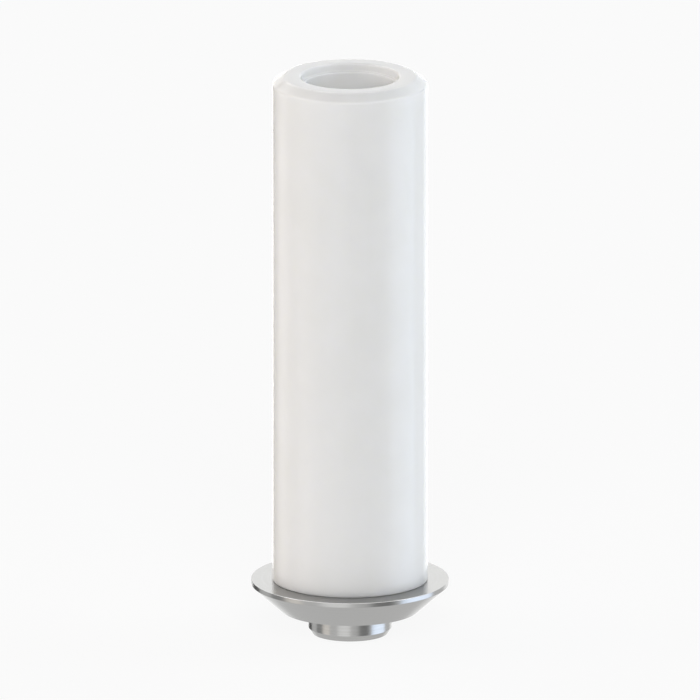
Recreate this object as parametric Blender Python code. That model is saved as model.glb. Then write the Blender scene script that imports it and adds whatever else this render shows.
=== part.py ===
# A castable implant abutment: a turned metal base and the plastic sleeve pressed over its neck.
# Both pieces are turned about Z. The origin is the centre of the boss's end face, and +Z runs
# up the screw channel.

import math

import bmesh
import bpy
from mathutils import Matrix, Vector

MM = 0.001

# Clearances between the two pieces
PRESS_GAP = 0.010 * MM  # all round the neck
FOOT_GAP = 0.010 * MM  # under the sleeve's foot, where it rests on the flange
NECK_END_GAP = 0.050 * MM  # over the neck, so that the foot seats first

# Way for the screw through the base
SHANK_HOLE_DIAMETER = 1.65 * MM
SCREW_SEAT_WIDTH = 0.32 * MM  # flat ring that the screw's head clamps on
SCREW_SEAT_THICKNESS = 0.50 * MM  # metal between the screw's seat and the implant's seat

# Boss that centres the base in the implant
BOSS_WALL = 0.229 * MM
BOSS_LENGTH = 0.62 * MM
BOSS_CHAMFER_WIDTH = 0.098 * MM
BOSS_CHAMFER_HEIGHT = 0.155 * MM

# Flange, from the seat on the implant's platform up to the sleeve's foot
PLATFORM_DIAMETER = 3.50 * MM
FLANGE_DIAMETER = 4.98 * MM
CONE_HEIGHT = 0.667 * MM
RIM_HEIGHT = 0.117 * MM

# Neck that the sleeve is pressed over, with grooves that also key the cast metal
NECK_WALL = 0.355 * MM
NECK_HEIGHT = 2.0 * MM
NECK_CHAMFER = 0.12 * MM
GROOVE_COUNT = 2
GROOVE_DEPTH = 0.06 * MM
GROOVE_WIDTH = 0.30 * MM
GROOVE_PITCH = 0.65 * MM
LOWEST_GROOVE = 0.60 * MM  # from the flange up to the groove's middle

# Sleeve
SLEEVE_HEIGHT = 13.07 * MM
SKIRT_WALL = 0.45 * MM  # round the neck, and it makes the sleeve 3.92 mm across
TOP_CHAMFER_WIDTH = 0.29 * MM
TOP_CHAMFER_HEIGHT = 0.19 * MM
MOUTH_DEPTH = 0.20 * MM
MOUTH_STEP = 0.085 * MM  # from the channel's wall out to the mouth's
LEAD_IN = 0.08 * MM  # at the foot, to start the sleeve on the neck

# Edges and corners
METAL_EDGE = 0.015 * MM
RIM_EDGE = 0.010 * MM  # crisp edge of the flange's top
METAL_CORNER = 0.03 * MM
PLASTIC_EDGE = 0.03 * MM
PLASTIC_CORNER = 0.04 * MM
FOOT_EDGE = 0.012 * MM  # the sleeve meets the flange almost sharply
LEDGE_EDGE = 0.04 * MM  # round the channel, inside the mouth
MOUTH_EDGE = 0.06 * MM
FACE_EDGE = 0.16 * MM  # between the sleeve's end face and its chamfer
CHAMFER_EDGE = 0.085 * MM  # between the chamfer and the sleeve's wall

FACETS = 64
ARC_STEP = math.radians(30)
SHARP_ANGLE = math.radians(35)

# Radii, from the axis outwards
HOLE_RADIUS = SHANK_HOLE_DIAMETER / 2
CHANNEL_RADIUS = HOLE_RADIUS + SCREW_SEAT_WIDTH
NECK_RADIUS = CHANNEL_RADIUS + NECK_WALL
SOCKET_RADIUS = NECK_RADIUS + PRESS_GAP
SLEEVE_RADIUS = SOCKET_RADIUS + SKIRT_WALL
BOSS_RADIUS = HOLE_RADIUS + BOSS_WALL

# Heights, from the boss's end face up
FLANGE_TOP = BOSS_LENGTH + CONE_HEIGHT + RIM_HEIGHT
SCREW_SEAT_HEIGHT = BOSS_LENGTH + SCREW_SEAT_THICKNESS


def groove_corners(wall, foot, clearance=0.0):
    """Corners of the neck's grooves, top to bottom, with 45 degree flanks.

    The clearance makes them the beads that fill the grooves from a wall that stands off by it.
    """
    corners = []
    for index in reversed(range(GROOVE_COUNT)):
        middle = foot + LOWEST_GROOVE + index * GROOVE_PITCH
        mouth = GROOVE_WIDTH / 2 - clearance
        floor = mouth - GROOVE_DEPTH
        corners += [
            (wall, middle + mouth, 0.0),
            (wall - GROOVE_DEPTH, middle + floor, 0.0),
            (wall - GROOVE_DEPTH, middle - floor, 0.0),
            (wall, middle - mouth, 0.0),
        ]
    return corners


def base_corners():
    """Section of the base as (radius, height, fillet), down its outside and up its bore."""
    neck_top = FLANGE_TOP + NECK_HEIGHT
    flange_radius = FLANGE_DIAMETER / 2
    platform_radius = PLATFORM_DIAMETER / 2
    return [
        (CHANNEL_RADIUS, neck_top, METAL_CORNER),
        (NECK_RADIUS - NECK_CHAMFER, neck_top, 0.0),
        (NECK_RADIUS, neck_top - NECK_CHAMFER, 0.0),
        *groove_corners(NECK_RADIUS, FLANGE_TOP),
        (NECK_RADIUS, FLANGE_TOP, METAL_CORNER),
        (flange_radius, FLANGE_TOP, RIM_EDGE),
        (flange_radius, FLANGE_TOP - RIM_HEIGHT, METAL_EDGE),
        (platform_radius, BOSS_LENGTH, METAL_EDGE),
        (BOSS_RADIUS, BOSS_LENGTH, METAL_CORNER),
        (BOSS_RADIUS, BOSS_CHAMFER_HEIGHT, METAL_EDGE),
        (BOSS_RADIUS - BOSS_CHAMFER_WIDTH, 0.0, METAL_EDGE),
        (HOLE_RADIUS, 0.0, METAL_CORNER),
        (HOLE_RADIUS, SCREW_SEAT_HEIGHT, METAL_CORNER),
        (CHANNEL_RADIUS, SCREW_SEAT_HEIGHT, METAL_CORNER),
    ]


def sleeve_corners():
    """Section of the sleeve with its foot at height zero, down its outside and up its bore."""
    mouth_radius = CHANNEL_RADIUS + MOUTH_STEP
    socket_depth = NECK_HEIGHT + NECK_END_GAP - FOOT_GAP
    return [
        (mouth_radius, SLEEVE_HEIGHT, MOUTH_EDGE),
        (SLEEVE_RADIUS - TOP_CHAMFER_WIDTH, SLEEVE_HEIGHT, FACE_EDGE),
        (SLEEVE_RADIUS, SLEEVE_HEIGHT - TOP_CHAMFER_HEIGHT, CHAMFER_EDGE),
        (SLEEVE_RADIUS, 0.0, FOOT_EDGE),
        (SOCKET_RADIUS + LEAD_IN, 0.0, 0.0),
        (SOCKET_RADIUS, LEAD_IN, 0.0),
        *reversed(groove_corners(SOCKET_RADIUS, -FOOT_GAP, PRESS_GAP)),
        (SOCKET_RADIUS, socket_depth, PLASTIC_CORNER),
        (CHANNEL_RADIUS, socket_depth, PLASTIC_EDGE),
        (CHANNEL_RADIUS, SLEEVE_HEIGHT - MOUTH_DEPTH, LEDGE_EDGE),
        (mouth_radius, SLEEVE_HEIGHT - MOUTH_DEPTH, PLASTIC_CORNER),
    ]


def rounded(corners):
    """Points of the closed section through the corners, with each fillet drawn as an arc."""
    points = []
    for index, (radius, height, fillet) in enumerate(corners):
        corner = Vector((radius, height))
        if not fillet:
            points.append(corner)
            continue
        before = corner - Vector(corners[index - 1][:2])
        after = Vector(corners[(index + 1) % len(corners)][:2]) - corner
        turn = -before.angle_signed(after)
        # A fillet takes no more than half of the shorter wall beside it
        slope = math.tan(abs(turn) / 2)
        fillet = min(fillet, min(before.length, after.length) / 2 / slope)
        start = corner - before.normalized() * fillet * slope
        inwards = (after.normalized() - before.normalized()).normalized()
        centre = corner + inwards * fillet / math.cos(turn / 2)
        steps = math.ceil(abs(turn) / ARC_STEP - 0.01)
        for step in range(steps + 1):
            swing = Matrix.Rotation(turn * step / steps, 2)
            points.append(centre + swing @ (start - centre))
    return points


def turned(name, corners, material, parent):
    """A solid of revolution about Z, made by spinning its section once round."""
    bm = bmesh.new()
    rim = [bm.verts.new((point.x, 0.0, point.y)) for point in rounded(corners)]
    section = [bm.edges.new((rim[index - 1], rim[index])) for index in range(len(rim))]
    bmesh.ops.spin(
        bm,
        geom=rim + section,
        cent=(0.0, 0.0, 0.0),
        axis=(0.0, 0.0, 1.0),
        angle=math.tau,
        steps=FACETS,
        use_merge=True,
    )
    bmesh.ops.recalc_face_normals(bm, faces=bm.faces)
    mesh = bpy.data.meshes.new(name)
    bm.to_mesh(mesh)
    bm.free()
    mesh.shade_smooth()
    mesh.set_sharp_from_angle(angle=SHARP_ANGLE)
    mesh.materials.append(material)
    piece = bpy.data.objects.new(name, mesh)
    piece.parent = parent
    bpy.context.scene.collection.objects.link(piece)
    return piece


def surface(name, color, metallic, roughness):
    material = bpy.data.materials.new(name)
    material.use_nodes = True
    shader = material.node_tree.nodes["Principled BSDF"]
    shader.inputs["Base Color"].default_value = (*color, 1.0)
    shader.inputs["Metallic"].default_value = metallic
    shader.inputs["Roughness"].default_value = roughness
    return material


def build():
    for old in list(bpy.data.objects):
        bpy.data.objects.remove(old)
    abutment = bpy.data.objects.new("dental_abutment", None)
    bpy.context.scene.collection.objects.link(abutment)

    alloy = surface("turned cobalt-chrome alloy", (0.44, 0.44, 0.435), 1.0, 0.20)
    turned("metal_base", base_corners(), alloy, abutment)

    acetal = surface("white burn-out acetal", (0.78, 0.78, 0.77), 0.0, 0.35)
    sleeve = turned("plastic_sleeve", sleeve_corners(), acetal, abutment)
    sleeve.location.z = FLANGE_TOP + FOOT_GAP


build()
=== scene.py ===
import math

import bpy
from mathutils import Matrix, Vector


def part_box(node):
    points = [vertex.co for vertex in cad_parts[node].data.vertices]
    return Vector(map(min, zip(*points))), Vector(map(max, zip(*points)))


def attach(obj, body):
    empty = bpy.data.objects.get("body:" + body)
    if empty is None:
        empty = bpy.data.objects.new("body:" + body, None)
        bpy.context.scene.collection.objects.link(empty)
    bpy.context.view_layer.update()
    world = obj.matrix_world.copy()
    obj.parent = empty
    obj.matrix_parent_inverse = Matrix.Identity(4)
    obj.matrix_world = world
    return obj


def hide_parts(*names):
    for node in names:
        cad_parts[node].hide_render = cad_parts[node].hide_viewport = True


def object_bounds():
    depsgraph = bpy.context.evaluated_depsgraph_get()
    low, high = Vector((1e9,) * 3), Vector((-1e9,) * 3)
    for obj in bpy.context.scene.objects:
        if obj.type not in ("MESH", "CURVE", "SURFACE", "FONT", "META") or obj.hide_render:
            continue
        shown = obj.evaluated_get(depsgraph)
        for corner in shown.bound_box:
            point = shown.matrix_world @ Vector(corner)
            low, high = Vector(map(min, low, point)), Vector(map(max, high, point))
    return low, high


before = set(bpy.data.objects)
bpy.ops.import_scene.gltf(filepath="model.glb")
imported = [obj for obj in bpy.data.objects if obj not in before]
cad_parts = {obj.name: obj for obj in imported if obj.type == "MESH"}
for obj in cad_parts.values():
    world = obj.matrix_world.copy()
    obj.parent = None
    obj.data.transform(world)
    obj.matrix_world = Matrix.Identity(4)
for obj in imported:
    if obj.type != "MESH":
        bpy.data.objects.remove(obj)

# A castable implant abutment: a turned alloy base and a white burn-out sleeve pressed over its neck.
# Both pieces are turned about Z, so each is one section spun by the same lathe tree.

mm = 0.001
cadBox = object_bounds()
baseLow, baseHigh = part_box("metal_base")
sleeveLow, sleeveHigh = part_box("plastic_sleeve")
scene = bpy.context.scene
print("stage 1: frame loaded")


def addNode(tree, kind, inputs=None, **settings):
    # An input is a plain value, or the output of another node, which is then linked to it
    node = tree.nodes.new(kind)
    for name, value in settings.items():
        setattr(node, name, value)
    for socket, source in (inputs or {}).items():
        if isinstance(source, bpy.types.NodeSocket):
            tree.links.new(source, node.inputs[socket])
        else:
            node.inputs[socket].default_value = source
    return node


def toLinear(hexColor):
    # The standard curve from sRGB to linear light
    channels = [int(hexColor[start:start + 2], 16) / 255 for start in (1, 3, 5)]
    return [c / 12.92 if c <= 0.04045 else ((c + 0.055) / 1.055) ** 2.4 for c in channels] + [1.0]


def newMaterial(name):
    material = bpy.data.materials.new(name)
    material.use_nodes = True
    material.node_tree.nodes.clear()
    return material, material.node_tree


def place(obj):
    scene.collection.objects.link(obj)
    return obj


# Camera: the picture has no perspective
cameraView = {
    "elevation": math.radians(15),
    "widthSeen": 17.621 * mm,  # across the picture's 700 pixels
    "aimHeight": 7.343 * mm,
    "distance": 60 * mm,
    "nearest": 0.1 * mm,
    "farthest": 1000 * mm,
}


def outwards(azimuth, elevation):
    level = math.cos(elevation)
    return Vector((math.sin(azimuth) * level, -math.cos(azimuth) * level, math.sin(elevation)))


def makeCamera(view):
    lens = bpy.data.cameras.new("camera")
    lens.type = "ORTHO"
    lens.ortho_scale = view["widthSeen"]
    lens.clip_start = view["nearest"]
    lens.clip_end = view["farthest"]
    camera = place(bpy.data.objects.new("camera", lens))
    back = outwards(0.0, view["elevation"])
    camera.location = Vector((0, 0, view["aimHeight"])) + back * view["distance"]
    camera.rotation_mode = "QUATERNION"
    camera.rotation_quaternion = (-back).to_track_quat("-Z", "Y")
    scene.camera = camera


makeCamera(cameraView)
scene.view_settings.view_transform = "Standard"
print("stage 2: camera placed")


# Lathe: spins a closed section about Z. A corner is (radius, height, rounding).
lathe = {
    "facets": 256,
    "arcPoints": 6,  # along each rounding
    "creaseAngle": math.radians(30),
    "hold": 0.02 * mm,  # plain strip kept beside each rounding, so that flat walls shade flat
    "roomForHold": 2.5,  # only a wall longer than this many roundings, strip included, gets the strip
    "spindle": 1.0 * mm,  # radius of the circle that carries the section round
}


def sectionWire(name, corners, settings):
    points = []
    count = len(corners)
    for index, (radius, height, rounding) in enumerate(corners):
        here = Vector((radius, height))
        before = Vector(corners[index - 1][:2]) - here
        after = Vector(corners[(index + 1) % count][:2]) - here
        reach = rounding / math.tan(before.angle(after) / 2) + settings["hold"]
        roomNeeded = settings["roomForHold"] * reach
        if before.length > roomNeeded:
            points.append((here + before.normalized() * reach, 0.0))
        points.append((here, rounding))
        if after.length > roomNeeded:
            points.append((here + after.normalized() * reach, 0.0))
    mesh = bpy.data.meshes.new(name)
    edges = [(index, (index + 1) % len(points)) for index in range(len(points))]
    mesh.from_pydata([(point.x, 0.0, point.y) for point, rounding in points], edges, [])
    roundings = mesh.attributes.new("rounding", "FLOAT", "POINT")
    roundings.data.foreach_set("value", [rounding for point, rounding in points])
    return place(bpy.data.objects.new(name, mesh))


def makeLatheTree():
    tree = bpy.data.node_groups.new("lathe", "GeometryNodeTree")
    slots = {}
    for name, kind in (
        ("Section", "NodeSocketGeometry"),
        ("Facets", "NodeSocketInt"),
        ("Arc points", "NodeSocketInt"),
        ("Spindle", "NodeSocketFloat"),
        ("Crease angle", "NodeSocketFloat"),
        ("Finish", "NodeSocketMaterial"),
    ):
        slots[name] = tree.interface.new_socket(name, in_out="INPUT", socket_type=kind).identifier
    tree.interface.new_socket("Turned piece", in_out="OUTPUT", socket_type="NodeSocketGeometry")
    given = addNode(tree, "NodeGroupInput").outputs

    # The section's corners are rounded, each by its own amount
    section = addNode(tree, "GeometryNodeMeshToCurve", {"Mesh": given["Section"]})
    rounding = addNode(tree, "GeometryNodeInputNamedAttribute", {"Name": "rounding"}, data_type="FLOAT")
    rounded = addNode(
        tree,
        "GeometryNodeFilletCurve",
        {
            "Curve": section.outputs["Curve"],
            "Radius": rounding.outputs["Attribute"],
            "Count": given["Arc points"],
            "Limit Radius": True,
        },
        mode="POLY",
    )

    # It is laid down as a profile, measured from the spindle's circle, and swept along that
    inset = addNode(tree, "ShaderNodeMath", {0: 0.0, 1: given["Spindle"]}, operation="SUBTRACT")
    offset = addNode(tree, "ShaderNodeCombineXYZ", {"X": inset.outputs[0]})
    laid = addNode(
        tree,
        "GeometryNodeTransform",
        {
            "Geometry": rounded.outputs["Curve"],
            "Translation": offset.outputs["Vector"],
            "Rotation": (math.pi / 2, 0.0, 0.0),
        },
    )
    spindle = addNode(
        tree,
        "GeometryNodeCurvePrimitiveCircle",
        {"Resolution": given["Facets"], "Radius": given["Spindle"]},
    )
    spun = addNode(
        tree,
        "GeometryNodeCurveToMesh",
        {"Curve": spindle.outputs["Curve"], "Profile Curve": laid.outputs["Geometry"]},
    )

    # Faces shade smooth, apart from the creases
    smooth = addNode(
        tree, "GeometryNodeSetShadeSmooth", {"Geometry": spun.outputs["Mesh"], "Shade Smooth": True}
    )
    angle = addNode(tree, "GeometryNodeInputMeshEdgeAngle")
    creased = addNode(
        tree,
        "FunctionNodeCompare",
        {"A": angle.outputs["Unsigned Angle"], "B": given["Crease angle"]},
        operation="GREATER_THAN",
    )
    sharp = addNode(
        tree,
        "GeometryNodeSetShadeSmooth",
        {
            "Geometry": smooth.outputs["Geometry"],
            "Selection": creased.outputs["Result"],
            "Shade Smooth": False,
        },
        domain="EDGE",
    )
    real = addNode(tree, "GeometryNodeRealizeInstances", {"Geometry": sharp.outputs["Geometry"]})
    finished = addNode(
        tree,
        "GeometryNodeSetMaterial",
        {"Geometry": real.outputs["Geometry"], "Material": given["Finish"]},
    )
    addNode(tree, "NodeGroupOutput", {"Turned piece": finished.outputs["Geometry"]})
    return tree, slots


latheTree, latheSlots = makeLatheTree()


def turn(name, corners, material):
    blank = sectionWire(name + "Section", corners, lathe)
    spin = blank.modifiers.new("lathe", "NODES")
    spin.node_group = latheTree
    spin[latheSlots["Facets"]] = lathe["facets"]
    spin[latheSlots["Arc points"]] = lathe["arcPoints"]
    spin[latheSlots["Spindle"]] = lathe["spindle"]
    spin[latheSlots["Crease angle"]] = lathe["creaseAngle"]
    spin[latheSlots["Finish"]] = material
    graph = bpy.context.evaluated_depsgraph_get()
    made = bpy.data.meshes.new_from_object(
        blank.evaluated_get(graph), preserve_all_data_layers=True, depsgraph=graph
    )
    made.name = name
    bpy.data.objects.remove(blank)
    return place(bpy.data.objects.new(name, made))


# Noise stays mostly between 0.25 and 0.75. A smooth step over this range keeps both ends free of lines.
noiseRange = {"From Min": 0.2, "From Max": 0.8}

# Turned cobalt-chrome alloy: a neutral grey mirror, softly blurred, with the tool's fine rings on it,
# their valleys painted a little darker as shade.
# Both finishes stay under a roughness of 0.27, past which the renderer's noise filter leaves patches.
turnedAlloy = {
    "color": "#B1B1B0",
    "paintedValleyShade": "#ADADAB",  # painted shade: the rings' valleys, a little dimmer
    "grazingColor": "#EDEDED",  # a real metal mirrors a little less than all at a flat angle
    "roughness": 0.195,
    "roughnessSpread": 0.02,
    "ringSpacing": 0.05 * mm,  # real feed is about 0.02 mm, drawn coarse enough to show
    "ringDetail": 1.0,
    "ringDepth": 0.00018 * mm,
    "cloudSize": 0.7 * mm,
    "cloudDetail": 2.0,
}


def makeTurnedAlloy(look):
    material, tree = newMaterial("turned cobalt-chrome alloy")
    where = addNode(tree, "ShaderNodeTexCoord").outputs["Object"]
    parts = addNode(tree, "ShaderNodeSeparateXYZ", {"Vector": where}).outputs
    flat = addNode(tree, "ShaderNodeCombineXYZ", {"X": parts["X"], "Y": parts["Y"]})
    radius = addNode(tree, "ShaderNodeVectorMath", {0: flat.outputs["Vector"]}, operation="LENGTH")
    # Radius plus height crosses the rings on every face of a turned piece
    travel = addNode(
        tree, "ShaderNodeMath", {0: radius.outputs["Value"], 1: parts["Z"]}, operation="ADD"
    ).outputs["Value"]
    rings = addNode(
        tree,
        "ShaderNodeTexNoise",
        {"W": travel, "Scale": 1 / look["ringSpacing"], "Detail": look["ringDetail"]},
        noise_dimensions="1D",
    ).outputs["Fac"]
    cloud = addNode(
        tree,
        "ShaderNodeTexNoise",
        {"Vector": where, "Scale": 1 / look["cloudSize"], "Detail": look["cloudDetail"]},
    ).outputs["Fac"]
    roughness = addNode(
        tree,
        "ShaderNodeMapRange",
        {
            "Value": cloud,
            "To Min": look["roughness"] - look["roughnessSpread"],
            "To Max": look["roughness"] + look["roughnessSpread"],
            **noiseRange,
        },
        interpolation_type="SMOOTHSTEP",
    ).outputs["Result"]
    shade = addNode(
        tree, "ShaderNodeMapRange", {"Value": rings, **noiseRange}, interpolation_type="SMOOTHSTEP"
    ).outputs["Result"]
    # Painted shade in the rings: the colour turns dimmer where the rings run low, in their valleys
    color = addNode(
        tree,
        "ShaderNodeMix",
        {"Factor": shade, "A": toLinear(look["paintedValleyShade"]), "B": toLinear(look["color"])},
        data_type="RGBA",
    ).outputs["Result"]
    bump = addNode(tree, "ShaderNodeBump", {"Height": rings, "Distance": look["ringDepth"]})
    shader = addNode(
        tree,
        "ShaderNodeBsdfPrincipled",
        {
            "Base Color": color,
            "Metallic": 1.0,
            "Roughness": roughness,
            "Specular Tint": toLinear(look["grazingColor"]),
            "Normal": bump.outputs["Normal"],
        },
    )
    addNode(tree, "ShaderNodeOutputMaterial", {"Surface": shader.outputs["BSDF"]})
    return material


# White acetal with a satin face: milky, lets some light into its wall, and lights up along its edges
satinAcetal = {
    "color": "#F2F2F2",
    "cloudColor": "#EFEFEE",  # where it is a little more milky
    "roughness": 0.12,
    "roughnessSpread": 0.02,
    "ior": 1.40,  # about 1.48 in a table, lowered to match the object's sheen
    "milkiness": 1.0,
    "lightReach": 0.25 * mm,
    "reachByColor": (1.0, 1.0, 0.95),  # blue light goes a little less deep
    "grainSize": 0.06 * mm,  # real grain is finer, drawn coarse enough to show
    "grainDepth": 0.00015 * mm,
    "cloudSize": 1.2 * mm,
    "detail": 2.0,
}


def makeSatinAcetal(look):
    material, tree = newMaterial("white satin acetal")
    where = addNode(tree, "ShaderNodeTexCoord").outputs["Object"]
    grain = addNode(
        tree,
        "ShaderNodeTexNoise",
        {"Vector": where, "Scale": 1 / look["grainSize"], "Detail": look["detail"]},
    ).outputs["Fac"]
    cloud = addNode(
        tree,
        "ShaderNodeTexNoise",
        {"Vector": where, "Scale": 1 / look["cloudSize"], "Detail": look["detail"]},
    ).outputs["Fac"]
    roughness = addNode(
        tree,
        "ShaderNodeMapRange",
        {
            "Value": cloud,
            "To Min": look["roughness"] - look["roughnessSpread"],
            "To Max": look["roughness"] + look["roughnessSpread"],
            **noiseRange,
        },
        interpolation_type="SMOOTHSTEP",
    ).outputs["Result"]
    shade = addNode(
        tree, "ShaderNodeMapRange", {"Value": cloud, **noiseRange}, interpolation_type="SMOOTHSTEP"
    ).outputs["Result"]
    color = addNode(
        tree,
        "ShaderNodeMix",
        {"Factor": shade, "A": toLinear(look["color"]), "B": toLinear(look["cloudColor"])},
        data_type="RGBA",
    ).outputs["Result"]
    bump = addNode(tree, "ShaderNodeBump", {"Height": grain, "Distance": look["grainDepth"]})
    shader = addNode(
        tree,
        "ShaderNodeBsdfPrincipled",
        {
            "Base Color": color,
            "Roughness": roughness,
            "IOR": look["ior"],
            "Subsurface Weight": look["milkiness"],
            "Subsurface Radius": look["reachByColor"],
            "Subsurface Scale": look["lightReach"],
            "Normal": bump.outputs["Normal"],
        },
    )
    addNode(tree, "ShaderNodeOutputMaterial", {"Surface": shader.outputs["BSDF"]})
    return material


alloy = makeTurnedAlloy(turnedAlloy)
acetal = makeSatinAcetal(satinAcetal)
print("stage 3: finishes mixed")


# The base's box gives the flange's radius and the neck's top, and the rest follows the solid
metalBase = {
    "flangeRadius": baseHigh.x,
    "neckTop": baseHigh.z,
    "shankHoleRadius": 0.825 * mm,
    "screwSeatHeight": 1.12 * mm,
    "channelRadius": 1.145 * mm,
    "bossRadius": 1.054 * mm,
    "bossLength": 0.62 * mm,
    "bossChamferWidth": 0.098 * mm,
    "bossChamferHeight": 0.155 * mm,
    "platformRadius": 1.75 * mm,  # the seat's outer edge, under the cone
    "coneHeight": 0.667 * mm,
    "rimHeight": 0.117 * mm,
    "neckRadius": 1.50 * mm,
    "neckChamfer": 0.12 * mm,
    "grooveHeights": (1.25 * mm, 0.60 * mm),  # over the flange
    "grooveWidth": 0.30 * mm,
    "grooveDepth": 0.06 * mm,
    "edge": 0.015 * mm,  # rounding of the outside's edges
    "rimEdge": 0.010 * mm,  # the same along the flange's top
    "corner": 0.03 * mm,  # rounding of inner corners and of the bore's edges
}


def grooves(wall, foot, heights, halfWidth, depth, rounding):
    # Sloped grooves into a round wall, the highest first. The sleeve's beads are made by it too.
    corners = []
    for height in heights:
        middle = foot + height
        corners += [
            (wall, middle + halfWidth, rounding),
            (wall - depth, middle + halfWidth - depth, rounding),
            (wall - depth, middle - halfWidth + depth, rounding),
            (wall, middle - halfWidth, rounding),
        ]
    return corners


def makeMetalBase(size):
    edge, corner = size["edge"], size["corner"]
    seat = size["bossLength"]
    flangeTop = seat + size["coneHeight"] + size["rimHeight"]
    neck, hole, boss = size["neckRadius"], size["shankHoleRadius"], size["bossRadius"]
    corners = [
        (size["channelRadius"], size["neckTop"], corner),
        (neck - size["neckChamfer"], size["neckTop"], edge),
        (neck, size["neckTop"] - size["neckChamfer"], edge),
        *grooves(
            neck, flangeTop, size["grooveHeights"], size["grooveWidth"] / 2, size["grooveDepth"], edge
        ),
        (neck, flangeTop, corner),
        (size["flangeRadius"], flangeTop, size["rimEdge"]),
        (size["flangeRadius"], flangeTop - size["rimHeight"], edge),
        (size["platformRadius"], seat, edge),
        (boss, seat, corner),
        (boss, size["bossChamferHeight"], edge),
        (boss - size["bossChamferWidth"], baseLow.z, edge),
        (hole, baseLow.z, corner),
        (hole, size["screwSeatHeight"], corner),
        (size["channelRadius"], size["screwSeatHeight"], corner),
    ]
    piece = turn("turnedBase", corners, alloy)
    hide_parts("metal_base")
    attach(piece, "root")


makeMetalBase(metalBase)


plasticSleeve = {
    "radius": sleeveHigh.x,
    "foot": sleeveLow.z,
    "settled": 0.007 * mm,  # the solid's foot clears the flange by a little more, a real one rests on it
    "top": sleeveHigh.z,
    "channelRadius": 1.145 * mm,
    "socketRadius": 1.51 * mm,
    "socketDepth": 2.04 * mm,
    "leadIn": 0.08 * mm,
    "beadHeights": (1.24 * mm, 0.59 * mm),  # over the foot, so that they lie in the neck's grooves
    "beadWidth": 0.28 * mm,
    "beadDepth": 0.06 * mm,
    "beadEdge": 0.015 * mm,
    "footEdge": 0.012 * mm,
    "mouthRadius": 1.23 * mm,
    "mouthDepth": 0.20 * mm,
    "chamferWidth": 0.29 * mm,
    "chamferHeight": 0.19 * mm,
    "chamferEdge": 0.085 * mm,  # rounding between the chamfer and the wall
    "mouthEdge": 0.06 * mm,
    "faceEdge": 0.16 * mm,  # rounding between the end face and the chamfer
    "channelEdge": 0.04 * mm,  # rounding of the ledge in the mouth
    "edge": 0.03 * mm,  # rounding where the channel opens into the socket
    "corner": 0.04 * mm,  # rounding of inner corners
}


def makePlasticSleeve(size):
    edge, corner = size["edge"], size["corner"]
    foot, top, radius = size["foot"], size["top"], size["radius"]
    rest = foot - size["settled"]
    socket, channel, mouth = size["socketRadius"], size["channelRadius"], size["mouthRadius"]
    ceiling = foot + size["socketDepth"]
    beads = grooves(
        socket, foot, size["beadHeights"], size["beadWidth"] / 2, size["beadDepth"], size["beadEdge"]
    )
    corners = [
        (mouth, top, size["mouthEdge"]),
        (radius - size["chamferWidth"], top, size["faceEdge"]),
        (radius, top - size["chamferHeight"], size["chamferEdge"]),
        (radius, rest, size["footEdge"]),
        (socket + size["leadIn"], rest, size["beadEdge"]),
        (socket, foot + size["leadIn"], size["beadEdge"]),
        *reversed(beads),
        (socket, ceiling, corner),
        (channel, ceiling, edge),
        (channel, top - size["mouthDepth"], size["channelEdge"]),
        (mouth, top - size["mouthDepth"], corner),
    ]
    piece = turn("burnOutSleeve", corners, acetal)
    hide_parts("plastic_sleeve")
    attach(piece, "root")


makePlasticSleeve(plasticSleeve)
print("stage 4: both pieces turned")


# Studio: even pale light, warm from the left and cool from the right
studio = {
    "backdrop": "#FAFAFA",
    "ambient": 0.032,
    "mirroredOnMatt": 0.20,  # the share of what the metal mirrors that reaches matt walls
    "floorHalf": 400 * mm,
    "floorColor": "#FDFDFD",
    "floorShadowTone": 0.08,  # how much of the floor's look comes from the light that falls on it
    "floorGlow": 0.9075,  # the rest, so that the open floor meets the backdrop's white
    "lampDistance": 500 * mm,
    "lampWidth": 320 * mm,
}
lamps = {  # azimuth from the camera's side, positive to its right
    "frontLamp": {"azimuth": 0, "elevation": 30, "color": "#FFFFFF", "level": 0.588},
    "warmLamp": {"azimuth": -95, "elevation": 17, "color": "#FFF4EA", "level": 0.402},
    "coolLamp": {"azimuth": 102, "elevation": 18, "color": "#ECF6FF", "level": 0.438},
    "leftBackLamp": {"azimuth": -135, "elevation": 8, "color": "#FFFCF8", "level": 0.48},
    "rightBackLamp": {"azimuth": 135, "elevation": 8, "color": "#F6FBFF", "level": 0.405},
}


def mirrorShare(tree, path):
    # Most of what the metal throws back on matt walls is left out, as the photograph's sleeve
    # shows little of it. A ray that has met no matt wall sees all.
    kept = studio["mirroredOnMatt"]
    unscattered = addNode(
        tree, "ShaderNodeMath", {0: path["Diffuse Depth"], 1: 0.5}, operation="LESS_THAN"
    )
    return addNode(
        tree,
        "ShaderNodeMath",
        {0: unscattered.outputs[0], 1: 1 - kept, 2: kept},
        operation="MULTIPLY_ADD",
    ).outputs[0]


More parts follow.
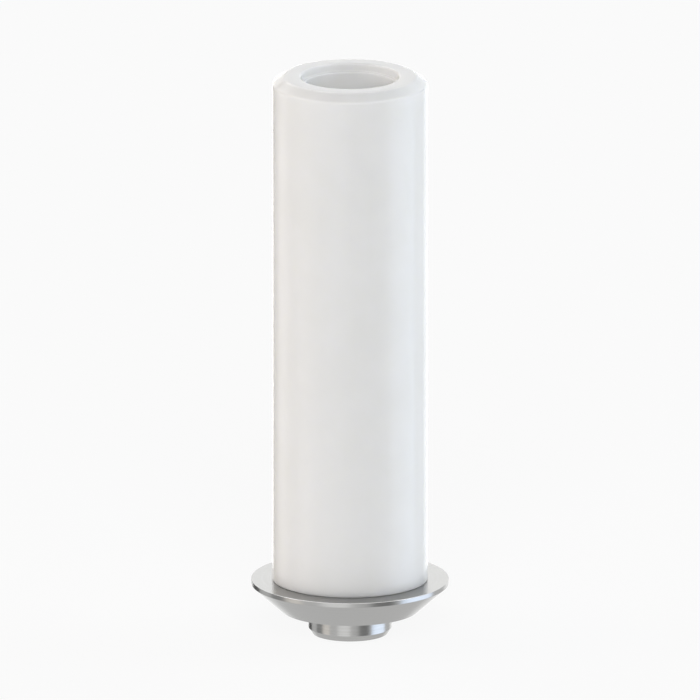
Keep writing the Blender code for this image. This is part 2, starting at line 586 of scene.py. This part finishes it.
def makeWorld(look):
    world = bpy.data.worlds.new("paleStudio")
    world.use_nodes = True
    scene.world = world
    tree = world.node_tree
    tree.nodes.clear()
    path = addNode(tree, "ShaderNodeLightPath").outputs
    mirrored = addNode(
        tree,
        "ShaderNodeMath",
        {0: path["Is Glossy Ray"], 1: mirrorShare(tree, path)},
        operation="MULTIPLY",
    )
    seen = addNode(
        tree,
        "ShaderNodeMath",
        {0: path["Is Camera Ray"], 1: mirrored.outputs[0]},
        operation="MAXIMUM",
    )
    shown = addNode(
        tree,
        "ShaderNodeMath",
        {0: seen.outputs[0], 1: path["Is Transmission Ray"]},
        operation="MAXIMUM",
    )
    # Only matt walls get the plain light that comes from all round
    level = addNode(
        tree,
        "ShaderNodeMath",
        {0: path["Is Glossy Ray"], 1: -look["ambient"], 2: look["ambient"]},
        operation="MULTIPLY_ADD",
    )
    light = addNode(tree, "ShaderNodeBackground", {"Color": (1, 1, 1, 1), "Strength": level.outputs[0]})
    backdrop = addNode(tree, "ShaderNodeBackground", {"Color": toLinear(look["backdrop"])})
    mixed = addNode(
        tree,
        "ShaderNodeMixShader",
        {0: shown.outputs[0], 1: light.outputs[0], 2: backdrop.outputs[0]},
    )
    addNode(tree, "ShaderNodeOutputWorld", {"Surface": mixed.outputs[0]})


def makeFloor(look):
    half = look["floorHalf"]
    corners = [(-half, -half, 0), (half, -half, 0), (half, half, 0), (-half, half, 0)]
    mesh = bpy.data.meshes.new("floor")
    mesh.from_pydata(corners, [], [(0, 1, 2, 3)])
    floor = place(bpy.data.objects.new("floor", mesh))
    material, tree = newMaterial("pale matt floor")
    path = addNode(tree, "ShaderNodeLightPath").outputs
    mirrored = addNode(
        tree,
        "ShaderNodeMath",
        {0: path["Is Glossy Ray"], 1: path["Is Transmission Ray"]},
        operation="MAXIMUM",
    )
    shown = addNode(
        tree,
        "ShaderNodeMath",
        {0: path["Is Camera Ray"], 1: mirrored.outputs[0]},
        operation="MAXIMUM",
    )
    matt = addNode(tree, "ShaderNodeBsdfDiffuse", {"Color": toLinear(look["floorColor"])})
    tone = look["floorShadowTone"]
    soft = addNode(tree, "ShaderNodeBsdfDiffuse", {"Color": (tone, tone, tone, 1)})
    glow = addNode(tree, "ShaderNodeEmission", {"Strength": look["floorGlow"]})
    seen = addNode(tree, "ShaderNodeAddShader", {0: soft.outputs[0], 1: glow.outputs[0]})
    mixed = addNode(
        tree,
        "ShaderNodeMixShader",
        {0: shown.outputs[0], 1: matt.outputs[0], 2: seen.outputs[0]},
    )
    addNode(tree, "ShaderNodeOutputMaterial", {"Surface": mixed.outputs[0]})
    mesh.materials.append(material)
    floor.visible_glossy = False  # the panels under the horizon take its place in mirrors


def makeLamp(name, lamp, look):
    light = bpy.data.lights.new(name, "AREA")
    light.shape = "DISK"
    light.size = look["lampWidth"]
    light.color = toLinear(lamp["color"])[:3]
    # A disc's power that gives a surface facing it the level of light asked for
    light.energy = lamp["level"] * math.pi ** 2 * look["lampDistance"] ** 2
    fixture = place(bpy.data.objects.new(name, light))
    aim = outwards(math.radians(lamp["azimuth"]), math.radians(lamp["elevation"]))
    middle = Vector((0, 0, cadBox[1][2] / 2))
    fixture.location = aim * look["lampDistance"] + middle
    fixture.rotation_mode = "QUATERNION"
    fixture.rotation_quaternion = aim.to_track_quat("Z", "Y")
    fixture.visible_glossy = False


makeWorld(studio)
makeFloor(studio)
for name, lamp in lamps.items():
    makeLamp(name, lamp, studio)


# Panels and flags round the object, seen only by what mirrors them. Azimuths are in degrees from the
# camera's side, positive to its right, and elevations are from the horizon up. A panel with several
# glows fades from one to the next, from its left to its right. What isn't covered shows white.
tent = {
    "radius": 300 * mm,
    "elevations": (-33, 5),  # of a panel that gives none of its own
    "columnStep": 3,  # degrees from one column of a panel's points to the next, where it may fade
    "rowStep": 10,
}
panels = {
    # Standing round the object, for the boss and the rim
    "farLeftFlag": {"azimuths": (-160.5, -131), "glow": 0.18},
    "leftGreyPanel": {"azimuths": (-131, -105), "glow": 0.87},
    "leftFlag": {"azimuths": (-105, -83), "glow": 0.45},
    "leftPanel": {"azimuths": (-83, -58), "color": "#FFFAF4", "glow": (0.86, 1.24, 1.27, 1.18)},
    "leftFrontPanel": {"azimuths": (-58, -37), "glow": 0.91},
    "frontPanel": {"azimuths": (-37, 0), "glow": (1.03, 1.27, 1.32, 1.31, 1.27)},
    "rightFrontPanel": {"azimuths": (0, 25), "glow": (1.0, 0.90, 0.86, 0.80, 0.70)},
    "rightFlag": {"azimuths": (25, 50), "glow": (0.47, 0.36, 0.335, 0.32)},
    "rightFlagEdge": {"azimuths": (50, 62), "glow": (0.39, 0.60, 1.05)},
    "coolSoftbox": {
        "azimuths": (62, 111),
        "color": "#E0EBFC",
        "glow": (1.72, 2.36, 2.42, 2.43, 2.38, 2.22),
    },
    "rightGreyPanel": {"azimuths": (111, 142), "glow": 0.91},
    # Behind it, for the flat tops and the far sides
    "backPanel": {"azimuths": (142, 203), "elevations": (0, 26), "glow": 1.56},
    "backLowPanel": {"azimuths": (142, 203), "elevations": (-24, 0), "glow": 1.49},
    "backFootPanel": {"azimuths": (142, 218), "elevations": (-35, -24), "glow": 1.17},
    # Over those, for the sleeve's rounded edges. Wider ones would turn the flange white in other views.
    "backHighPanel": {"azimuths": (153, 207), "elevations": (46, 60), "glow": 6.0},
    "backTopPanel": {"azimuths": (153, 207), "elevations": (60, 78), "glow": 1.6},
    "rightCrownPanel": {"azimuths": (153, 172), "elevations": (27, 46), "glow": 2.8},
    "leftCrownPanel": {"azimuths": (188, 207), "elevations": (27, 46), "glow": 3.6},
    "rightHighPanel": {"azimuths": (127, 153), "elevations": (26, 80), "glow": 2.05},
    "leftHighPanel": {"azimuths": (207, 233), "elevations": (26, 80), "glow": 2.05},
    "frontLowFlag": {"azimuths": (-142, 142), "elevations": (6, 20), "glow": 0.1},
    "frontHighPanel": {"azimuths": (-112, 112), "elevations": (32, 60), "glow": 4.8},
    "overheadPanel": {"azimuths": (153, 207), "elevations": (78, 84.5), "glow": 2.5},
    # Under it, for the cone
    "groundPanel": {"azimuths": (0, 360), "elevations": (-89, -35), "glow": 0.925},
}


def fade(glow, share):
    if not isinstance(glow, tuple):
        return glow
    spot = share * (len(glow) - 1)
    first = min(int(spot), len(glow) - 2)
    return glow[first] + (glow[first + 1] - glow[first]) * (spot - first)


def makeCard(name, vertices, faces, glows, color):
    mesh = bpy.data.meshes.new(name)
    mesh.from_pydata(vertices, [], faces)
    mesh.attributes.new("glow", "FLOAT", "POINT").data.foreach_set("value", glows)
    material, tree = newMaterial(name)
    path = addNode(tree, "ShaderNodeLightPath").outputs
    glow = addNode(tree, "ShaderNodeAttribute", attribute_name="glow").outputs["Fac"]
    level = addNode(tree, "ShaderNodeMath", {0: mirrorShare(tree, path), 1: glow}, operation="MULTIPLY")
    shader = addNode(
        tree, "ShaderNodeEmission", {"Color": toLinear(color), "Strength": level.outputs[0]}
    )
    addNode(tree, "ShaderNodeOutputMaterial", {"Surface": shader.outputs[0]})
    mesh.materials.append(material)
    card = place(bpy.data.objects.new(name, mesh))
    card.visible_camera = False
    card.visible_diffuse = False
    card.visible_shadow = False


def makePanel(name, panel):
    left, right = panel["azimuths"]
    low, high = panel.get("elevations", tent["elevations"])
    across = max(1, round((right - left) / tent["columnStep"]))
    up = max(1, round((high - low) / tent["rowStep"]))
    vertices, glows = [], []
    for column in range(across + 1):
        azimuth = math.radians(left + (right - left) * column / across)
        glows += [fade(panel["glow"], column / across)] * (up + 1)
        for row in range(up + 1):
            elevation = math.radians(low + (high - low) * row / up)
            vertices.append(outwards(azimuth, elevation) * tent["radius"])
    faces = []
    for column in range(across):
        for row in range(up):
            corner = column * (up + 1) + row
            faces.append((corner, corner + up + 1, corner + up + 2, corner + 1))
    makeCard(name, vertices, faces, glows, panel.get("color", "#FFFFFF"))


for name, panel in panels.items():
    makePanel(name, panel)
print("stage 5: studio lit")
